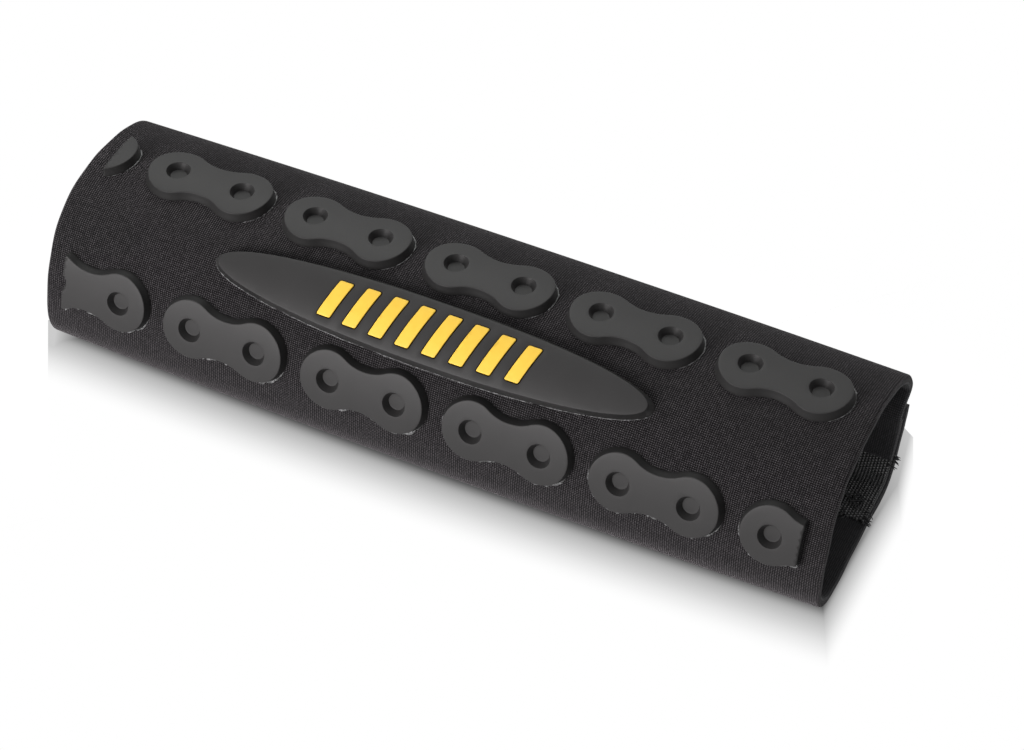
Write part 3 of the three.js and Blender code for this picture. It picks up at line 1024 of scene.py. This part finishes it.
def make_hook_tape():
    """A ribbed tape on the inside of the sheet. Its ribs run round the sleeve."""
    ribs = round(SHEET_LENGTH / RIB_PITCH)
    xs = np.linspace(0, SHEET_LENGTH, ribs * 4 + 1)
    ss = hook_from + edge_lines(HOOK_TAPE["width"], HOOK_TAPE_STEP, HOOK_TAPE_EDGE)
    face = -SHEET_THICKNESS - HOOK_TAPE["base"]

    def ribbed(x, s):
        beside = np.minimum(s - hook_from, hook_to - s)
        rise = RIB_HEIGHT * np.clip((beside - RIB_MARGIN) / RIB_RUN_IN, 0, 1)
        return face - rise * np.abs(np.sin(math.pi * x / RIB_PITCH)) ** 0.8

    def back(x, s):
        return np.full_like(x, -SHEET_THICKNESS + TAPE_SINK)

    points, faces, _ = slab(xs, ss, back, ribbed, (0.5,))
    return piece("ribbed_hook_tape", points, faces, [tape], "tape", ["hook_tape"])


def make_loop_tape():
    """The napped tape on the inner flap that the hooks hold."""
    xs = np.linspace(0, SHEET_LENGTH, 251)
    ss = loop_from + edge_lines(LOOP_TAPE["width"], LOOP_TAPE_STEP, LOOP_TAPE_EDGE)

    def napped(x, s):
        tangle = np.sin(x * 5.3 + 2 * np.sin(s * 3.1)) * np.sin(s * 4.7)
        return LOOP_TAPE["base"] + NAP_HEIGHT * tangle

    def back(x, s):
        return np.full_like(x, -TAPE_SINK)

    points, faces, _ = slab(xs, ss, napped, back, (0.5,))
    return piece("napped_loop_tape", points, faces, [tape], "tape", ["loop_tape"])


def tube(points, path, radii, faces, sides=6):
    """Adds a closed tube along a flat path, with its own radius at each point."""
    path = np.array(path, float)
    ahead = np.gradient(path, axis=0)
    ahead /= np.linalg.norm(ahead, axis=1)[:, None]
    start = len(points)
    for place, way, radius in zip(path, ahead, radii):
        across = np.cross(way, (0.13, 0.21, 1.0))
        across /= np.linalg.norm(across)
        up = np.cross(across, way)
        for k in range(sides):
            angle = math.tau * k / sides
            points.append(tuple(place + radius * (math.cos(angle) * across + math.sin(angle) * up)))
    rows = len(path)
    for i in range(rows - 1):
        for k in range(sides):
            a, b = start + i * sides + k, start + i * sides + (k + 1) % sides
            faces.append((a, a + sides, b + sides, b))
    faces.append(tuple(start + k for k in range(sides)))
    faces.append(tuple(start + (rows - 1) * sides + k for k in reversed(range(sides))))


# Hooks: their pitch round the sleeve, the part of the tape that they stand on, how far each
# may be out of its place, and the shape of one as ways along the sleeve and off the tape
HOOK_PITCH = 1.35
HOOKS_START = 19.5
HOOKS_MARGIN = 2.2
HOOK_SCATTER = (0.12, 0.2)
HOOK_SHAPE = ((0, 0), (0.02, 0.4), (0.16, 0.62), (0.36, 0.55))
HOOK_RADII = (0.13, 0.12, 0.11, 0.09)


def make_hooks():
    """Small bent hooks on the ribs, below the place that the inner flap covers."""
    draw = random.Random(SEED)
    points, faces = [], []
    foot = -SHEET_THICKNESS - HOOK_TAPE["base"] - RIB_HEIGHT * 0.6
    for rib in range(round(SHEET_LENGTH / RIB_PITCH)):
        x = (rib + 0.5) * RIB_PITCH
        for s in np.arange(hook_from + HOOKS_START, hook_to - HOOKS_MARGIN, HOOK_PITCH):
            side = 1 if draw.random() < 0.5 else -1
            shift_x, shift_s = (draw.uniform(-most, most) for most in HOOK_SCATTER)
            path = [(x + shift_x + side * dx, s + shift_s, foot - dh) for dx, dh in HOOK_SHAPE]
            tube(points, path, HOOK_RADII, faces, 4)
    return piece("tape_hooks", points, faces, [nylon], "tape")


# Tufts of loose threads: from and to which place round the sleeve, how many and how long.
# The curls between them: how far they spread, how many, their radii and their turns
FRAY_TUFTS = ((-54, -50, 12, 2.6), (hook_to - 1.2, hook_to + 1.2, 7, 2.2))
FRAY_ROOT = 0.8
CURL_SPREAD = 8.5
CURL_COUNT = 12
CURL_RADII = (0.5, 1.3)
CURL_TURNS = (0.7, 1.6)
CURL_POINTS = 22


def make_frays():
    """Threads that come loose at the hook tape's cut end: two tufts and some curls between them."""
    draw = random.Random(SEED)
    points, faces = [], []
    inside = -SHEET_THICKNESS - HOOK_TAPE["base"]
    for s_low, s_high, count, reach in FRAY_TUFTS:
        for _ in range(count):
            s, h = draw.uniform(s_low, s_high), inside + draw.uniform(-0.3, 0.9)
            length, lean, lift = draw.uniform(0.5, 1) * reach, draw.uniform(0, 1.2), draw.uniform(-0.5, 0.2)
            t = np.linspace(0, 1, 8)
            x = SHEET_LENGTH - FRAY_ROOT + (length + FRAY_ROOT) * t
            path = np.column_stack((x, s + lean * t**2, h + lift * t**2))
            tube(points, path, 0.07 + 0.26 * (1 - t) ** 0.7, faces)
    for _ in range(CURL_COUNT):
        x = draw.uniform(SHEET_LENGTH - CURL_SPREAD, SHEET_LENGTH + 0.3)
        s = draw.uniform(hook_to - CURL_SPREAD, hook_to + 0.6)
        size, turns, phase = draw.uniform(*CURL_RADII), draw.uniform(*CURL_TURNS), draw.uniform(0, math.tau)
        t = np.linspace(0, 1, CURL_POINTS)
        angle = phase + turns * math.tau * t
        path = np.column_stack((
            x + size * np.cos(angle) + 1.2 * t,
            s + size * np.sin(angle) + 1.6 * t,
            inside - RIB_HEIGHT - 0.25 - 0.3 * np.sin(math.pi * t),
        ))
        tube(points, path, np.full(CURL_POINTS, 0.14), faces, 5)
    return piece("frayed_threads", points, faces, [thread], "tape")


STITCH_LENGTH = 2.6
STITCH_PITCH = 3.1
STITCH_RISE = 0.2
STITCH_DIP = 0.12
STITCH_POINTS = 7
SEWING_THREAD_RADIUS = 0.2


def make_stitches():
    """Lock stitches along both edges of both tapes, on the face of the sheet and inside it."""
    points, faces = [], []
    for seam in seams:
        for face_height, sign in ((-SEAM_SINK + 0.02, 1), (-SHEET_THICKNESS - 0.02, -1)):
            if sign < 0 and seam > 0:
                continue
            lift = -HOOK_TAPE["base"] if sign < 0 else LOOP_TAPE["base"] if seam > 0 else 0
            middle = face_height + lift
            for start in np.arange(3.0, SHEET_LENGTH - 4, STITCH_PITCH):
                t = np.linspace(0, 1, STITCH_POINTS)
                rise = np.sin(math.pi * t) ** 0.5 * STITCH_RISE - STITCH_DIP
                x, s, h = start + STITCH_LENGTH * t, np.full_like(t, seam), middle + sign * rise
                path = np.column_stack((x, s, h))
                tube(points, path, np.full(STITCH_POINTS, SEWING_THREAD_RADIUS), faces)
    return piece("seam_stitches", points, faces, [thread], "tape")


sleeve = make_sheet()
make_links()
make_lens()
make_bars()
hook_tape = make_hook_tape()
loop_tape = make_loop_tape()
hooks = make_hooks()
stitches = make_stitches()
frays = make_frays()


# Stage

# The shade close to the object: how bright the floor is by how open the sky is over it,
# looking no further than a reach in metres
CONTACT_REACH = 0.06
CONTACT_SHADE = (
    (0.25, 0.16), (0.32, 0.36), (0.43, 0.68), (0.52, 0.82),
    (0.57, 0.89), (0.62, 0.95), (0.67, 0.99), (0.72, 1.0),
)

# The photograph's shade also fades away from the object's front and right end. Ahead is the
# way that it fades, as an angle in degrees from x, and across is the way beside that. Both are
# in millimetres from the frame's origin. The fade is given by share of its reach.
FADE_WAY = -64.6
FADE_REACH = 25.0
FADE = (
    (0, 0.1), (0.06, 0.223), (0.18, 0.456), (0.3, 0.578), (0.424, 0.69),
    (0.544, 0.8), (0.664, 0.89), (0.784, 0.965), (0.904, 1.0), (1, 1.0),
)

# Where it starts: ahead, as a curve over across for the front and as lines for the right end
FRONT_EDGE = (31.44, 0.4734, -0.000218)
SIDE_EDGES = ((282.19, -2.0203), (565.2, -4.2615))

# Where it ends on the left, on the right and at the back, each as a line, and how far behind
# its start it still shows, from one place across to another
FADE_LEFT = (-126.5, 0.09)
FADE_RIGHT = (133.5, -0.0813)
FADE_BACK = (1.6, -199)
FADE_START = (100, 110, -2, -9)

# Where it is lifted near its two ends: from and to which place across, and to what brightness
FADE_LIFTS = ((104, 131, 0.0, 0.55), (-117, -127, 0.0, 0.6))


def curve(n, value, places):
    """A curve through the given places, level from the last of them up to one."""
    node = n.add("ShaderNodeFloatCurve", {"Value": value})
    points = node.mapping.curves[0].points
    points[0].location, points[1].location = places[0], (1, places[-1][1])
    for place in places[1:-1] if places[-1][0] == 1 else places[1:]:
        points.new(*place)
    node.mapping.update()
    return node.outputs[0]


def floor_material():
    """A white table: matt to the object, and to the eye white with a shade round the object."""
    n = Nodes("white_table")
    tree = n.tree
    tree.nodes.remove(n.shader)
    matt = n.add("ShaderNodeBsdfDiffuse", {"Color": (0.8, 0.8, 0.8, 1)}).outputs[0]
    open_sky = n.add("ShaderNodeAmbientOcclusion", {"Distance": CONTACT_REACH}, samples=16)
    contact = curve(n, open_sky.outputs["AO"], CONTACT_SHADE)
    x, y, _ = n.split(n.add("ShaderNodeNewGeometry").outputs["Position"])
    cos, sin = math.cos(math.radians(FADE_WAY)) / MM, math.sin(math.radians(FADE_WAY)) / MM
    across = n.math("MULTIPLY_ADD", x, -sin, n.math("MULTIPLY", y, cos))
    ahead = n.math("MULTIPLY_ADD", x, cos, n.math("MULTIPLY", y, sin))
    edge = n.math("MULTIPLY_ADD", across, FRONT_EDGE[2], FRONT_EDGE[1])
    edge = n.math("MULTIPLY_ADD", across, edge, FRONT_EDGE[0])
    for start, slope in SIDE_EDGES:
        edge = n.math("MINIMUM", edge, n.math("MULTIPLY_ADD", across, slope, start))
    beyond = n.math("SUBTRACT", ahead, edge)
    share = n.math("MAXIMUM", n.math("MINIMUM", n.math("DIVIDE", beyond, FADE_REACH), 1), 0)
    within = n.math("GREATER_THAN", beyond, n.ramp(across, *FADE_START))
    back = n.math("MULTIPLY_ADD", across, *FADE_BACK)
    within = n.math("MULTIPLY", within, n.math("GREATER_THAN", ahead, back))
    for (start, slope), side in ((FADE_LEFT, "GREATER_THAN"), (FADE_RIGHT, "LESS_THAN")):
        end = n.math("MULTIPLY_ADD", ahead, slope, start)
        within = n.math("MULTIPLY", within, n.math(side, across, end))
    fade = curve(n, share, FADE)
    for lift in FADE_LIFTS:
        fade = n.math("MAXIMUM", fade, n.ramp(across, *lift))
    faded = n.add("ShaderNodeMix", {"Factor": within, "A": contact, "B": fade}).outputs[0]
    glow = n.add("ShaderNodeEmission", {"Strength": faded}).outputs[0]
    mixed = n.add("ShaderNodeMixShader", {0: n.seen(), 1: matt, 2: glow}).outputs[0]
    tree.links.new(mixed, tree.nodes["Material Output"].inputs["Surface"])
    return n.owner


TABLE_REACH = 3.0

# How bright the surrounding is at its left and its right
WORLD_LEFT = 0.36
WORLD_RIGHT = 0.16


def make_floor():
    mesh = bpy.data.meshes.new("table")
    corners = [(x * TABLE_REACH, y * TABLE_REACH, 0) for x, y in ((-1, -1), (1, -1), (1, 1), (-1, 1))]
    mesh.from_pydata(corners, [], [(0, 1, 2, 3)])
    mesh.materials.append(floor_material())
    table = bpy.data.objects.new("table", mesh)
    bpy.context.scene.collection.objects.link(table)


def make_world():
    """A soft surrounding that is lighter on the left. Seen or reflected, it is plain white."""
    n = Nodes("studio", "worlds")
    n.tree.nodes.clear()
    way = n.split(n.add("ShaderNodeTexCoord").outputs["Generated"])
    level = n.ramp(way["X"], -1, 1, WORLD_LEFT, WORLD_RIGHT)
    white = (1, 1, 1, 1)
    dim = n.add("ShaderNodeBackground", {"Color": white, "Strength": level}).outputs[0]
    bright = n.add("ShaderNodeBackground", {"Color": white, "Strength": 1}).outputs[0]
    mixed = n.add("ShaderNodeMixShader", {0: n.seen(), 1: dim, 2: bright}).outputs[0]
    n.tree.links.new(mixed, n.add("ShaderNodeOutputWorld").inputs["Surface"])
    bpy.context.scene.world = n.owner


def make_lamp(name, azimuth, elevation, distance, size, power, colour):
    """A round soft light, placed by its angles from the object's middle in degrees."""
    a, e = math.radians(azimuth), math.radians(elevation)
    place = Vector((math.cos(a) * math.cos(e), math.sin(a) * math.cos(e), math.sin(e))) * distance
    data = bpy.data.lights.new(name, "AREA")
    data.shape = "DISK"
    data.size = size
    data.energy = power
    data.color = colour
    lamp = bpy.data.objects.new(name, data)
    lamp.location = place
    lamp.rotation_mode = "QUATERNION"
    lamp.rotation_quaternion = (-place).to_track_quat("-Z", "Y")
    bpy.context.scene.collection.objects.link(lamp)


def make_camera():
    a, e = math.radians(CAMERA_AZIMUTH), math.radians(CAMERA_ELEVATION)
    back = Vector((math.sin(a) * math.cos(e), -math.cos(a) * math.cos(e), math.sin(e)))
    right = Vector((math.cos(a), math.sin(a), 0))
    up = back.cross(right)
    turn = Matrix((right, up, back)).transposed()
    data = bpy.data.cameras.new("camera")
    data.sensor_width = 36
    data.lens = FOCAL_PIXELS / PHOTO_WIDTH * data.sensor_width
    camera = bpy.data.objects.new("camera", data)
    camera.matrix_world = Matrix.Translation(CAMERA_PLACE) @ (
        turn @ Matrix.Rotation(math.radians(CAMERA_ROLL), 3, "Z")).to_4x4()
    bpy.context.scene.collection.objects.link(camera)
    bpy.context.scene.camera = camera


make_camera()
make_floor()
make_world()
make_lamp("front_left", azimuth=-112, elevation=18, distance=1.3, size=0.7, power=18,
          colour=(1.0, 0.975, 0.98))
make_lamp("back_left", azimuth=125, elevation=50, distance=1.3, size=0.8, power=6,
          colour=(0.98, 1.0, 0.975))
bpy.context.scene.view_settings.view_transform = "Standard"
